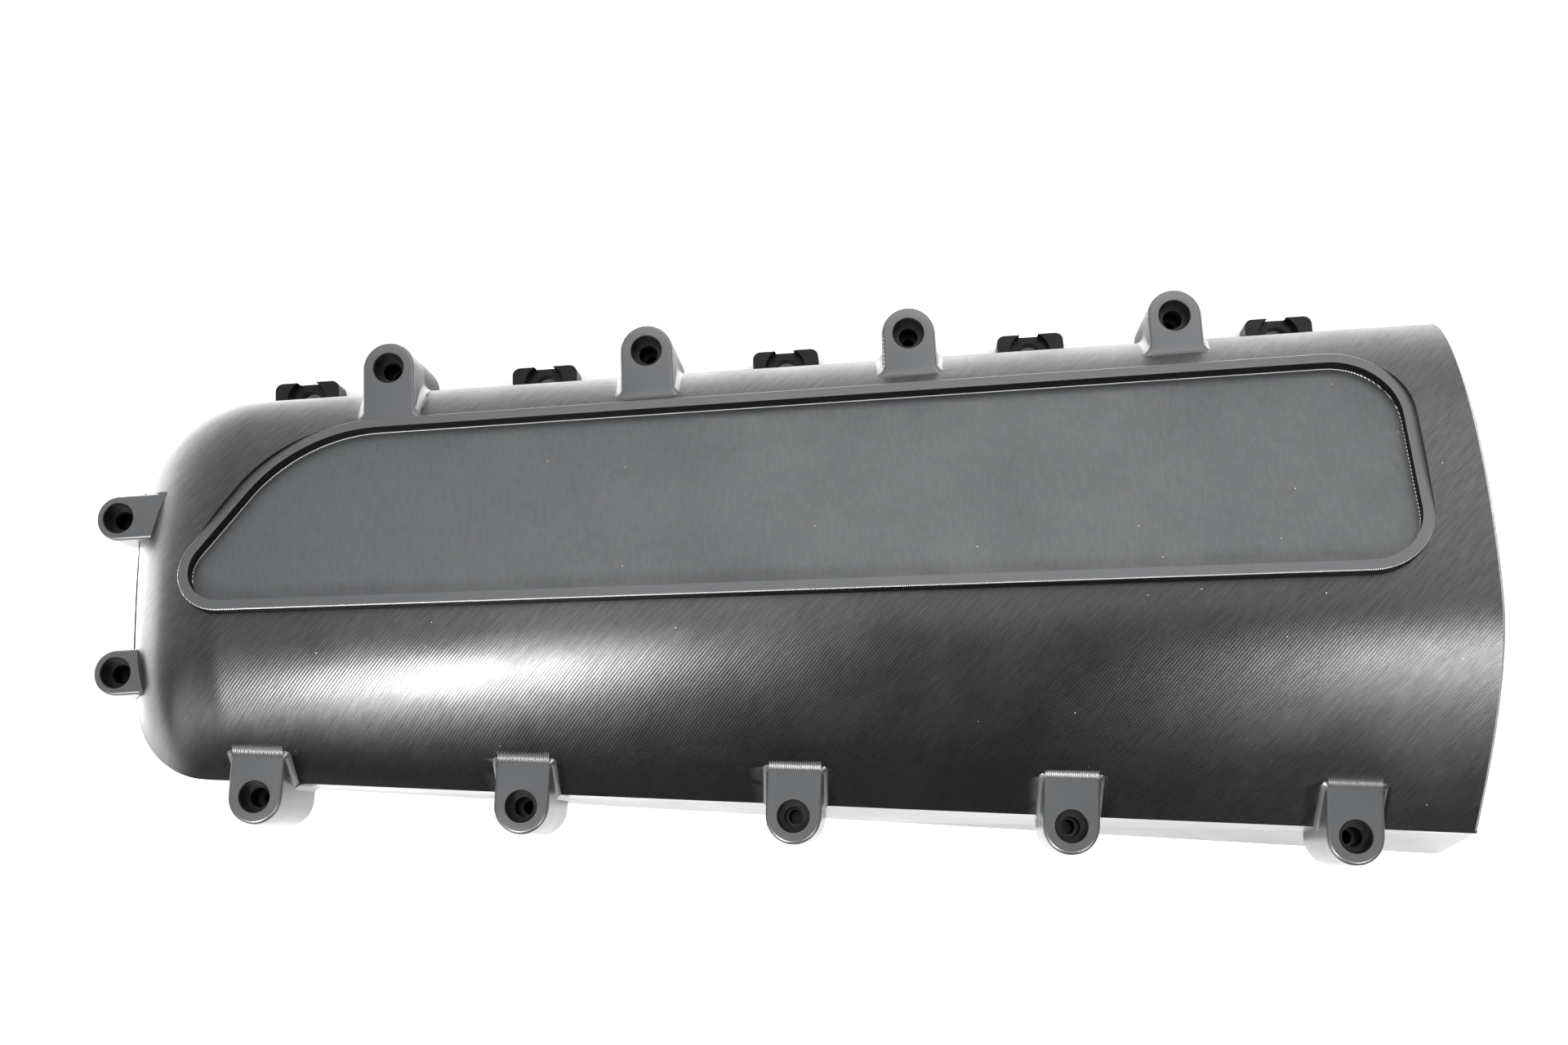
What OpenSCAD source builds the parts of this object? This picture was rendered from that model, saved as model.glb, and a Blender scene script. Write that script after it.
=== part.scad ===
// Two-piece billet intake plenum for a four-port engine head.
// A domed cover is screwed to a tub-shaped base through eleven ears. The base bolts to the head
// and carries four bell mouths; the open end takes a throttle flange.
// Frame: X along the ports, Y towards the head's outer stud row, Z up, z = 0 on the head face.

/* [Ports and screws] */
// Distance between neighbouring ports and screws, mm
pitch = 96; // [80:0.5:110]
// Line through the port centres, mm
port_y = -8; // [-15:0.5:0]
// Port bore radius, mm
port_r = 20; // [15:0.5:21]
// Row of ears on the head side, mm
head_ear_y = 32; // [30:0.5:36]
// Middle ear of the outer row, mm
outer_ear_mid = [-2.7, -139.1]; // [-200:0.1:200]
// Lean of the outer row of ears, degrees
outer_ear_lean = 5; // [0:0.5:10]
// Ears on the closed end, distance from the middle, mm
end_ear_x = -245.4; // [-250:0.1:-240]
// Y of the two ears on the closed end, mm
end_ear_ys = [-18.3, -75.3]; // [-100:0.1:0]

/* [Heights] */
// Height of the joint face between cover and base, mm
seam_z = 48; // [40:1:60]
// Height of the top of the ears, mm
ear_z = 62; // [56:1:70]
// Lowest point of the ears on the base, mm
boss_z = 25; // [15:1:35]
// Thickness of the floor of the base, mm
floor_t = 12; // [8:1:16]

/* [Outline] */
// Head-side wall of the cover at the joint, mm
head_y = 26; // [22:0.5:30]
// Closed end of the cover, mm
left_x = -242.5; // [-250:0.5:-230]
// Outer corner of the open end, mm
right_x = 233.2; // [225:0.1:240]
// Slant of the open end, degrees
end_slant = 1.8; // [0:0.1:5]
// Bulge of the open end in its middle, mm
end_bulge = 1.5; // [0:0.1:4]
// Outer wall at x = 0, mm
outer_y = -135; // [-150:0.1:-120]
// Run of the outer wall per mm of length
outer_run = -0.094; // [-0.2:0.0001:0]
// Corner radius at the closed end, head side, mm
corner_head_r = 46; // [30:1:50]
// Corner radius at the closed end, outer side, mm
corner_outer_r = 25; // [20:1:40]
// How far the foot of the outer wall stands out at the open end, mm
foot_flare = 7; // [0:0.5:12]

/* [Dome] */
// Height of the crest at x = 0, mm
crest_z = 87.7; // [80:0.1:95]
// Rise of the crest per mm of length
crest_rise = 0.028; // [0:0.0005:0.1]
// Line of the crest at x = 0, mm
crest_y = -74; // [-90:1:-60]
// Side wall at the joint face, mm
side_wall = 9; // [6:0.5:12]
// Roof of the dome, mm
roof_wall = 5; // [3:0.5:8]
// Wall of the open end, inner face at this x, mm
end_wall_x = 216; // [205:1:220]

/* [Recessed panel] */
// Tilt of the panel about X, degrees
panel_tilt = 18.3; // [10:0.1:25]
// Tilt of the panel along X, degrees
panel_rise = 1.15; // [0:0.05:3]
// Width of the rim round the panel, mm
rim_w = 3.8; // [2:0.1:6]
// Depth of the panel below its rim, mm
panel_d = 4.4; // [2:0.1:6]

/* [Fasteners] */
// Radius of an ear round its screw, mm
ear_r = 9.8; // [8:0.1:12]
// Radius of the two ears on the closed end, mm
end_ear_r = 8.3; // [7:0.1:12]
// Counterbore radius for a screw head, mm
head_r = 5.5; // [4:0.1:7]
// Counterbore depth, mm
head_d = 6; // [4:0.5:8]
// Clearance radius for an M6 screw, mm
clear_r = 3.5; // [3.1:0.1:4]
// Thread insert outer radius, mm
insert_r = 4; // [3.5:0.1:5]
// Thread radius inside an insert, mm
thread_r = 2.6; // [2.4:0.1:3]
// Stud hole radius on the head flange, mm
stud_r = 4.5; // [4:0.1:6]

/* [Throttle end] */
// Centre of the throttle bore [Y, Z], mm
throttle_c = [-70, 46]; // [-100:1:100]
// Throttle bore radius, mm
throttle_r = 30; // [25:0.5:33]
// Side of the square throttle flange, mm
flange_side = 76; // [70:1:84]
// Inner and outer face of the throttle flange, mm
flange_x = [226, 232]; // [220:1:236]
// Half the spacing of the throttle screws, mm
throttle_half = 30; // [26:0.5:32]

/* [Hidden] */
$fn = 64;
eps = 0.01;
round_x = left_x + corner_head_r;
round_ox = left_x + corner_outer_r;
ear_xs = [for (i = [-1.5 : 1.5]) i * pitch];
stud_xs = [for (i = [-2 : 2]) i * pitch];
stud_y = 36.5;
inner_stud_y = -52.5;
outer_ears = [for (i = [-2 : 2]) [
    outer_ear_mid[0] + i * pitch * cos(outer_ear_lean),
    outer_ear_mid[1] - i * pitch * sin(outer_ear_lean)]];
insert_z = [32, 44];
dowel_r = 5;
dowel_h = 4;
groove_w = 3.2;
groove_d = 2.4;
plug_c = [-20, 70];
flange_pins = [[33, 20], [33, -20], [-33, 20], [-33, -20]];
black = [0.10, 0.10, 0.11];
steel = [0.62, 0.62, 0.60];
rubber = [0.05, 0.05, 0.05];

// ---------- plan of the plenum: the two long walls, inset by d ----------

function head_wall(x, d) = head_y - d - (x < round_x
    ? corner_head_r - d - sqrt(max(0, pow(corner_head_r - d, 2) - pow(round_x - x, 2))) : 0);
function outer_wall(x, d) = outer_y + outer_run * x + d + (x < round_ox
    ? corner_outer_r - d - sqrt(max(0, pow(corner_outer_r - d, 2) - pow(round_ox - x, 2))) : 0);

// Stations along X: close together round the closed end, then even steps to x_end
function stations(d, x_end, n_round, n_long) = concat(
    [for (i = [0 : n_round]) round_x - (corner_head_r - d) * cos(90 * i / n_round)],
    [for (i = [1 : n_long]) round_x + (x_end - round_x) * i / n_long]);
function plan(d, x_end, flare = 0) = let (xs = stations(d, x_end, 14, 2), n = len(xs)) concat(
    [for (x = xs) [x, outer_wall(x, d) - flare * (x - left_x) / (right_x - left_x)]],
    [for (i = [n - 1 : -1 : 0]) [xs[i], head_wall(xs[i], d)]]);

// ---------- cross-section of the dome ----------

end_power = 1.8;
function head_power(x) = 1.68 + 0.0005 * x;
end_run = 42;
function crest(x) = crest_z + crest_rise * x;
function crest_line(x) = crest_y - 0.028 * x;
function slope_run(x) = 34.8 + 0.0604 * x;
function end_round(x, d) = let (u = (left_x + end_run + d - x) / end_run)
    u <= 0 ? 1 : pow(1 - pow(min(u, 0.98), end_power), 1 / end_power);
// Head side: a superellipse quarter from the joint up to the crest
function head_arc(x, d, top, n) = let (yh = head_wall(x, d), yc = crest_line(x)) [
    for (i = [0 : n]) let (a = 90 * i / n) [
        yc + (yh - yc) * pow(cos(a), 2 / head_power(x)),
        seam_z + top * pow(sin(a), 2 / head_power(x))]];
// Outer side: a parabola from the flat crest down to a straight slope
function outer_arc(x, d, top, n) = let (yo = outer_wall(x, d), yc = crest_line(x),
    ym = yo + min(slope_run(x), yc - yo)) [
    for (i = [1 : n]) let (t = i / n) [
        pow(1 - t, 2) * yc + 2 * t * (1 - t) * ym + t * t * yo,
        seam_z + top * (1 - t * t)]];
function section(x, d, roof, drop) = let (
    top = (crest(x) - roof - seam_z) * end_round(x, d)) concat(
    drop > 0 ? [[head_wall(x, d), seam_z - drop]] : [],
    head_arc(x, d, top, 18), outer_arc(x, d, top, 14),
    drop > 0 ? [[outer_wall(x, d), seam_z - drop]] : []);

// Skin the sections into a closed solid
module dome(d, roof, drop, x_end) {
    xs = stations(d, x_end, 14, 6);
    rings = [for (x = xs) [for (p = section(x, d, roof, drop)) [x, p[0], p[1]]]];
    m = len(rings[0]);
    n = len(xs);
    points = [for (r = rings) for (p = r) p];
    sides = [for (i = [0 : n - 2]) for (j = [0 : m - 1]) let (k = (j + 1) % m) each [
        [i * m + j, (i + 1) * m + k, i * m + k],
        [i * m + j, (i + 1) * m + j, (i + 1) * m + k]]];
    caps = [[for (j = [0 : m - 1]) j], [for (j = [m - 1 : -1 : 0]) (n - 1) * m + j]];
    polyhedron(points, concat(sides, caps));
}

// Everything past the open end, whose face is slanted and bulges a little in plan
module past_end() {
    from = outer_y + outer_run * right_x;
    span = head_y - from;
    face = [for (i = [-1 : 16]) let (t = (i - 0.5) / 14)
        [right_x + tan(end_slant) * span * t + end_bulge * 4 * t * (1 - t), from + span * t]];
    translate([0, 0, -1]) linear_extrude(140)
        polygon(concat(face, [[300, from + span * 1.1], [300, from - span * 0.1]]));
}

// ---------- recessed panel ----------

panel_corners = [[-177.4, -1.6], [-222.7, -68.3], [215.3, -81.7], [216.5, -2.6]];
panel_radii = [55, 13, 19, 23];

function unit(v) = v / norm(v);
function cross2(a, b) = a[0] * b[1] - a[1] * b[0];
// Corner i of a ring of points, moved out by d on both of its sides
function moved(p, i, d) = let (n = len(p), a = unit(p[i] - p[(i + n - 1) % n]),
    b = unit(p[(i + 1) % n] - p[i]), na = [a[1], -a[0]], nb = [b[1], -b[0]])
    p[i] + d * (na + nb) / (1 + na * nb);
function rounded(p, r, n) = let (m = len(p)) [for (i = [0 : m - 1])
    let (a = unit(p[(i + m - 1) % m] - p[i]), b = unit(p[(i + 1) % m] - p[i]),
        half = acos(a * b) / 2, c = p[i] + unit(a + b) * r[i] / sin(half),
        from = p[i] + a * r[i] / tan(half) - c, turn = 180 - 2 * half)
    for (k = [0 : n]) let (t = turn * k / n)
        c + [from[0] * cos(t) - from[1] * sin(t), from[0] * sin(t) + from[1] * cos(t)]];
function panel(d) = rounded([for (i = [0 : 3]) moved(panel_corners, i, d)],
    [for (r = panel_radii) r + d], 10);

// Local frame on the rim: u along the ports, v up the tilt
module panel_frame() {
    translate([0, 11, 66]) rotate([-panel_tilt, -panel_rise, 0]) children();
}

// ---------- ears ----------

// Plan of an ear round the origin, its root towards -Y, with a flare on each side of the root.
// The flare's circle bites a little past the ear and the wall, so that it crosses both.
module ear_plan(reach, wall, r = ear_r) {
    flare_r = 3.6;
    bite = 0.3;
    side = flare_r - bite;
    circle(r = r);
    translate([-r, -reach]) square([2 * r, reach]);
    for (s = [0, 1]) mirror([s, 0]) difference() {
        translate([r - 1, -reach]) square([1 + side, reach - wall + side]);
        translate([r + side, side - wall]) circle(r = flare_r);
    }
}

// Plan of the cover's part of an ear: it runs straight back into the dome
module ear_top(reach, r) {
    circle(r = r);
    translate([-r, -reach]) square([2 * r, reach]);
}

module each_head_ear() {
    for (x = ear_xs) translate([x, head_ear_y, 0]) children();
}
module each_outer_ear() {
    for (p = outer_ears) translate([p[0], p[1], 0]) rotate([0, 0, 180 - outer_ear_lean]) children();
}
module each_end_ear() {
    for (y = end_ear_ys) translate([end_ear_x, y, 0]) rotate([0, 0, 90]) children();
}
module each_ear_hole() {
    each_head_ear() children();
    each_outer_ear() children();
    each_end_ear() children();
}
module at_dowels() {
    translate([ear_xs[0], head_ear_y, 0]) children();
    translate([outer_ears[4][0], outer_ears[4][1], 0]) children();
}

// ---------- throttle end, drawn looking along -X with Z up ----------

module at_throttle(x) {
    translate([x, throttle_c[0], throttle_c[1]]) rotate([90, 0, 90]) children();
}
module flange_plan(side) {
    r = 12;
    h = side / 2 - r;
    square([side, 2 * h], center = true);
    square([2 * h, side], center = true);
    for (a = [-h, h], b = [-h, h]) translate([a, b]) circle(r = r);
}
module throttle_cuts() {
    at_throttle(end_wall_x - 1) cylinder(r = throttle_r, h = 20);
    at_throttle(flange_x[0]) linear_extrude(20) flange_plan(flange_side + 0.4);
    at_throttle(flange_x[0] - 9) for (p = flange_pins)
        translate([p[0], p[1], 0]) cylinder(r = 2, h = 10, $fn = 32);
}

// ---------- the pieces ----------

module plenum_cover() {
    color(black) difference() {
        union() {
            dome(0, 0, 0, 250);
            panel_frame() translate([0, 0, -12]) linear_extrude(12) polygon(panel(rim_w));
            translate([0, 0, seam_z]) linear_extrude(ear_z - seam_z) {
                each_head_ear() ear_top(19, ear_r);
                each_outer_ear() ear_top(19, ear_r);
                each_end_ear() ear_top(17, end_ear_r);
            }
        }
        intersection() {
            dome(side_wall, roof_wall, 1, end_wall_x);
            panel_frame() translate([0, 0, -104.5 - panel_d])
                linear_extrude(100) square([700, 500], center = true);
        }
        past_end();
        panel_frame() linear_extrude(30) polygon(panel(rim_w));
        panel_frame() translate([0, 0, -panel_d]) linear_extrude(40) polygon(panel(0));
        each_ear_hole() {
            translate([0, 0, seam_z - 1]) cylinder(r = clear_r, h = 20);
            translate([0, 0, ear_z - head_d]) cylinder(r = head_r, h = 20);
        }
        at_dowels() translate([0, 0, seam_z - 1]) cylinder(r = dowel_r, h = dowel_h + 1);
        throttle_cuts();
        translate([0, plug_c[0], plug_c[1]]) rotate([0, 90, 0]) {
            translate([0, 0, end_wall_x + 4]) cylinder(r = 5, h = 36, $fn = 48);
            translate([4.8, 0, end_wall_x - 1]) cylinder(r = 1.5, h = 8, $fn = 32);
            translate([0, 0, 236.5]) cylinder(r = 7.5, h = 20, $fn = 48);
        }
    }
}

module plenum_base() {
    color(black) difference() {
        union() {
            base_block();
            translate([0, 0, boss_z]) linear_extrude(seam_z - boss_z) {
                each_head_ear() ear_plan(14, 6);
                each_outer_ear() ear_plan(14, 5);
                each_end_ear() ear_plan(14, 3.5, end_ear_r);
            }
            for (x = stud_xs) stud_pad(x);
        }
        translate([0, 0, floor_t]) linear_extrude(seam_z) polygon(plan(side_wall, end_wall_x));
        past_end();
        seam_groove();
        each_ear_hole() {
            translate([0, 0, insert_z[0]]) cylinder(r = insert_r, h = 30);
            translate([0, 0, insert_z[0] - 4]) cylinder(r = thread_r, h = 30);
        }
        at_dowels() translate([0, 0, seam_z - dowel_h]) cylinder(r = dowel_r, h = 20);
        for (x = ear_xs) port_cuts(x);
        for (x = stud_xs) {
            translate([x, stud_y, -1]) cylinder(r = stud_r, h = 20);
            translate([x, stud_y, 6]) cylinder(r = 7.8, h = 20);
            translate([x, inner_stud_y, -1]) cylinder(r = stud_r, h = 30);
            translate([x, inner_stud_y, 7]) cylinder(r = 8.5, h = 10);
        }
        lightening_pockets();
        throttle_cuts();
    }
}

// Outside of the base: the joint outline above, the flared foot below
module base_block() {
    top = plan(0, 250);
    foot = plan(0, 250, foot_flare);
    n = len(top);
    points = concat([for (p = foot) [p[0], p[1], 0]], [for (p = top) [p[0], p[1], seam_z]]);
    sides = [for (j = [0 : n - 1]) let (k = (j + 1) % n) each [[j, n + j, n + k], [j, n + k, k]]];
    caps = [[for (j = [0 : n - 1]) j], [for (j = [n - 1 : -1 : 0]) n + j]];
    polyhedron(points, concat(sides, caps));
}

module stud_pad(x) {
    translate([x, 0, 0]) linear_extrude(10)
        polygon(rounded([[-12.6, 20], [13.2, 20], [13.2, 43.4], [-12.6, 43.4]], [0.5, 0.5, 3, 3], 6));
}

module port_cuts(x) {
    translate([x, port_y, -1]) cylinder(r = port_r, h = 40);
    translate([x, port_y, floor_t - 4]) cylinder(r = 22.5, h = 10);
    translate([x, port_y, -1]) difference() {
        cylinder(r = 26.5, h = 4);
        translate([0, 0, -1]) cylinder(r = 23.5, h = 6);
    }
}

// Rectangular pockets milled into the underside, behind the head flange
module lightening_pockets() {
    for (i = [-2 : 1]) translate([i * pitch + 8, -118 + (i < -1 ? 24 : 0), -1])
        pocket_block(80, i < -1 ? 26 : 50 - (i < 0 ? 8 : 0));
}
module pocket_block(w, l) {
    linear_extrude(6) polygon(rounded([[0, 0], [w, 0], [w, l], [0, l]], [6, 6, 6, 6], 6));
}

// Groove for the cord seal: a C that starts and ends at the throttle flange
module seal_path(width) {
    d = 4.5;
    gap = throttle_c[0];
    reach = 34;
    difference() {
        polygon(plan(d - width / 2, 221 + width / 2));
        polygon(plan(d + width / 2, 221 - width / 2));
        translate([214, gap - reach]) square([20, 2 * reach]);
    }
    for (s = [-1, 1]) translate([221 - width / 2, gap + s * reach - width / 2])
        square([flange_x[0] - 221 + width / 2, width]);
}
module seam_groove() {
    translate([0, 0, seam_z - groove_d]) linear_extrude(groove_d + 1) seal_path(groove_w);
}
module cover_seal() {
    color(rubber) translate([0, 0, seam_z - groove_d]) linear_extrude(groove_d) seal_path(2.8);
}

// Bell mouth pressed into the floor of the base
module velocity_stack(i) {
    bell = 4.5;
    top = 36;
    color([0.72, 0.73, 0.74]) translate([ear_xs[i], port_y, 0]) rotate_extrude() difference() {
        union() {
            translate([0, floor_t - 4]) square([22.4, 4]);
            square_up = top - bell;
            translate([0, floor_t - 4]) square([21.5, square_up - floor_t + 4]);
            translate([0, square_up]) square([24, bell]);
        }
        translate([-1, 0]) square([19.5, top + 1]);
        translate([18.5, top - bell]) bell_cut(bell);
    }
}
module bell_cut(bell) {
    difference() {
        translate([-1, 0]) square([bell + 1, bell + 1]);
        translate([bell, 0]) circle(r = bell);
    }
}
module velocity_stack_1() { velocity_stack(0); }
module velocity_stack_2() { velocity_stack(1); }
module velocity_stack_3() { velocity_stack(2); }
module velocity_stack_4() { velocity_stack(3); }

module port_seal(i) {
    color(rubber) translate([ear_xs[i], port_y, 1.48])
        rotate_extrude() translate([25, 0]) circle(r = 1.48, $fn = 24);
}
module port_seal_1() { port_seal(0); }
module port_seal_2() { port_seal(1); }
module port_seal_3() { port_seal(2); }
module port_seal_4() { port_seal(3); }

module thread_insert() {
    color(steel) translate([0, 0, insert_z[0]]) difference() {
        cylinder(r = insert_r, h = insert_z[1] - insert_z[0]);
        translate([0, 0, -1]) cylinder(r = thread_r, h = 20);
    }
}
module head_side_inserts() { each_head_ear() thread_insert(); }
module outer_side_inserts() { each_outer_ear() thread_insert(); }
module end_inserts() { each_end_ear() thread_insert(); }

module ring_dowel(p) {
    color(steel) translate([p[0], p[1], seam_z - dowel_h]) difference() {
        cylinder(r = dowel_r, h = 2 * dowel_h);
        translate([0, 0, -1]) cylinder(r = clear_r + 0.1, h = 20);
    }
}
module ring_dowel_head() { ring_dowel([ear_xs[0], head_ear_y]); }
module ring_dowel_outer() { ring_dowel(outer_ears[4]); }

module throttle_flange() {
    t = flange_x[1] - flange_x[0];
    color(black) difference() {
        at_throttle(flange_x[0]) linear_extrude(t) flange_plan(flange_side);
        at_throttle(flange_x[0] - 1) cylinder(r = throttle_r, h = t + 2);
        at_throttle(flange_x[0] - 1) difference() {
            cylinder(r = 35, h = 3);
            translate([0, 0, -1]) cylinder(r = 33, h = 5);
        }
        at_throttle(flange_x[0] - 1) for (a = [-1, 1], b = [-1, 1])
            translate([a * throttle_half, b * throttle_half, 0]) cylinder(r = 2.5, h = t + 2);
        at_throttle(flange_x[0]) for (p = flange_pins) translate([p[0], p[1], 0]) {
            translate([0, 0, -1]) cylinder(r = 2.2, h = t + 2, $fn = 32);
            translate([0, 0, t - 2]) cylinder(r1 = 2.2, r2 = 4.2, h = 2 + eps, $fn = 32);
        }
    }
}

module throttle_seal() {
    color(rubber) at_throttle(flange_x[0] + 1)
        rotate_extrude() translate([34, 0]) circle(r = 0.98, $fn = 24);
}

module throttle_flange_screws() {
    t = flange_x[1] - flange_x[0];
    color(steel) at_throttle(flange_x[0]) for (p = flange_pins) translate([p[0], p[1], 0])
        difference() {
            union() {
                translate([0, 0, -8]) cylinder(r = 1.98, h = 8 + t - 2, $fn = 32);
                translate([0, 0, t - 2]) cylinder(r1 = 1.98, r2 = 3.9, h = 2, $fn = 32);
            }
            translate([0, 0, t - 1.6]) cylinder(r = 1.45, h = 3, $fn = 6);
        }
}

module boost_port_plug() {
    color(steel) translate([0, plug_c[0], plug_c[1]]) rotate([0, 90, 0]) difference() {
        union() {
            translate([0, 0, 226]) cylinder(r = 4.98, h = 12, $fn = 48);
            translate([0, 0, 237.3]) cylinder(r = 6.5, h = 3.7, $fn = 48);
        }
        translate([0, 0, 237]) cylinder(r = 2.9, h = 6, $fn = 6);
    }
}

module plug_washer() {
    color([0.72, 0.45, 0.25]) translate([236.5, plug_c[0], plug_c[1]]) rotate([0, 90, 0])
        difference() {
            cylinder(r = 6.8, h = 0.8, $fn = 48);
            translate([0, 0, -1]) cylinder(r = 5, h = 3, $fn = 48);
        }
}

plenum_cover();
plenum_base();
cover_seal();
velocity_stack_1();
velocity_stack_2();
velocity_stack_3();
velocity_stack_4();
port_seal_1();
port_seal_2();
port_seal_3();
port_seal_4();
head_side_inserts();
outer_side_inserts();
end_inserts();
ring_dowel_head();
ring_dowel_outer();
throttle_flange();
throttle_seal();
throttle_flange_screws();
boost_port_plug();
plug_washer();
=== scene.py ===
"""Two-piece billet intake plenum: a black-anodised domed cover on a ported base, on a white table."""
import math

import bmesh
import bpy
from mathutils import Matrix, Vector


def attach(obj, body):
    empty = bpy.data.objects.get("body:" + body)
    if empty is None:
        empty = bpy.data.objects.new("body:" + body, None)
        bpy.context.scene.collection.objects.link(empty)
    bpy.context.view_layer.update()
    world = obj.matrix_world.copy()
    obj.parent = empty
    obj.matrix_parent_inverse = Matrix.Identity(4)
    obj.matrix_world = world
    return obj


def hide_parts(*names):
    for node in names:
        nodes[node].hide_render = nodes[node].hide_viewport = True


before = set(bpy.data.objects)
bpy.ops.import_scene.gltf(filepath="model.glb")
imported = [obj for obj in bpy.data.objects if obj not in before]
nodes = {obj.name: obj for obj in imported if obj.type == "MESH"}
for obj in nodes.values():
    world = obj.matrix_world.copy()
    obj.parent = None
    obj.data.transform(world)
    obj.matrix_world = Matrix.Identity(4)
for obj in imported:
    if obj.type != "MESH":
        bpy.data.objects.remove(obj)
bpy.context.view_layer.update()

# --- camera -----------------------------------------------------------------------------------
# Held above the outer side, a little right of the middle, and turned a few degrees clockwise.
CAMERA_AT = Vector((0.0345, -0.1535, 0.6936))
AIM_AT = Vector((-0.0007, -0.0352, 0.0620))
CAMERA_ROLL = math.radians(-2.92)

camera_data = bpy.data.cameras.new("camera")
camera_data.sensor_width = 36.0
camera_data.lens = 41.25
camera = bpy.data.objects.new("camera", camera_data)
bpy.context.scene.collection.objects.link(camera)
back = (CAMERA_AT - AIM_AT).normalized()
right = Vector((0, 1, 0)).cross(back).normalized()
basis = Matrix((right, back.cross(right), back)).transposed().to_4x4()
camera.matrix_world = (Matrix.Translation(CAMERA_AT) @ basis
                       @ Matrix.Rotation(CAMERA_ROLL, 4, "Z"))
bpy.context.scene.camera = camera

# --- plenum cover -----------------------------------------------------------------------------
# One billet milled to a dome that leans towards the head, with a recessed panel and eleven screw
# ears, its open end cut straight for the throttle flange. It is blasted lightly and anodised
# black, so its own colour is nearly even and what changes over it is the cutter's marks; on top
# of that light is painted in: a sheen on the ears, a shade where the outer flank is steepest,
# and glints on the coves and the pocket step.


def link(tree, out, into):
    tree.links.new(out, into)


def add(tree, kind, **settings):
    node = tree.nodes.new(kind)
    for key, value in settings.items():
        setattr(node, key, value)
    return node


def maths(tree, op, a, b=None):
    node = add(tree, "ShaderNodeMath", operation=op)
    for socket, value in zip(node.inputs, (a, b)):
        if isinstance(value, (int, float)):
            socket.default_value = value
        elif value is not None:
            link(tree, value, socket)
    return node.outputs[0]


def ranged(tree, value, from_min, from_max, to_min, to_max, smooth=False):
    """A value carried from one range over to another, and held at the ends."""
    node = add(tree, "ShaderNodeMapRange", interpolation_type="SMOOTHSTEP" if smooth else "LINEAR")
    node.inputs["From Min"].default_value = from_min
    node.inputs["From Max"].default_value = from_max
    node.inputs["To Min"].default_value = to_min
    node.inputs["To Max"].default_value = to_max
    link(tree, value, node.inputs["Value"])
    return node.outputs[0]


def tinted(tree, colour, other, share):
    """A colour that goes over to another by a share that changes over the surface."""
    node = add(tree, "ShaderNodeMix", data_type="RGBA")
    node.inputs[6].default_value = (*colour, 1)
    node.inputs[7].default_value = (*other, 1)
    link(tree, share, node.inputs[0])
    return node.outputs[2]


def new_group(name, ins, outs):
    tree = bpy.data.node_groups.new(name, "ShaderNodeTree")
    for label, kind, default in ins:
        socket = tree.interface.new_socket(label, in_out="INPUT", socket_type=kind)
        if default is not None:
            socket.default_value = default
    for label, kind in outs:
        tree.interface.new_socket(label, in_out="OUTPUT", socket_type=kind)
    return tree, add(tree, "NodeGroupInput"), add(tree, "NodeGroupOutput")


# Straight cutter marks: a ridge every Pitch along the direction Heading, broken up by noise.
marks, gin, gout = new_group(
    "cutter_marks",
    [("Vector", "NodeSocketVector", None), ("Heading", "NodeSocketVector", (1, 0, 0)),
     ("Pitch", "NodeSocketFloat", 0.001), ("Waver", "NodeSocketFloat", 0.3)],
    [("Height", "NodeSocketFloat")])
along = add(marks, "ShaderNodeVectorMath", operation="DOT_PRODUCT")
link(marks, gin.outputs["Vector"], along.inputs[0])
link(marks, gin.outputs["Heading"], along.inputs[1])
drift = add(marks, "ShaderNodeTexNoise")
drift.inputs["Scale"].default_value = 60
link(marks, gin.outputs["Vector"], drift.inputs["Vector"])
turns = maths(marks, "DIVIDE", along.outputs["Value"], gin.outputs["Pitch"])
shake = maths(marks, "MULTIPLY", drift.outputs["Fac"], gin.outputs["Waver"])
phase = maths(marks, "MULTIPLY", maths(marks, "ADD", turns, shake), 2 * math.pi)
wave = maths(marks, "SINE", phase)
link(marks, maths(marks, "MULTIPLY_ADD", wave, 0.5), gout.inputs["Height"])

# Cloudy patches with sparse pale specks of dust, as on handled anodising.
DUST = (0.35, 0.35, 0.36)
SPECK_RADIUS, SPECK_RARITY = 0.12, 0.994
clouds, gin, gout = new_group(
    "handled_patches",
    [("Vector", "NodeSocketVector", None), ("Patch Scale", "NodeSocketFloat", 22.0),
     ("Speck Scale", "NodeSocketFloat", 620.0)],
    [("Patches", "NodeSocketFloat"), ("Specks", "NodeSocketFloat")])
patch = add(clouds, "ShaderNodeTexNoise")
patch.inputs["Detail"].default_value = 5
patch.inputs["Roughness"].default_value = 0.62
link(clouds, gin.outputs["Vector"], patch.inputs["Vector"])
link(clouds, gin.outputs["Patch Scale"], patch.inputs["Scale"])
speck = add(clouds, "ShaderNodeTexVoronoi")
link(clouds, gin.outputs["Vector"], speck.inputs["Vector"])
link(clouds, gin.outputs["Speck Scale"], speck.inputs["Scale"])
rare = add(clouds, "ShaderNodeTexWhiteNoise")
link(clouds, speck.outputs["Position"], rare.inputs["Vector"])
small = maths(clouds, "LESS_THAN", speck.outputs["Distance"], SPECK_RADIUS)
few = maths(clouds, "GREATER_THAN", rare.outputs["Value"], SPECK_RARITY)
link(clouds, patch.outputs["Fac"], gout.inputs["Patches"])
link(clouds, maths(clouds, "MULTIPLY", small, few), gout.inputs["Specks"])


GRAIN_SCALE = 2600


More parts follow.
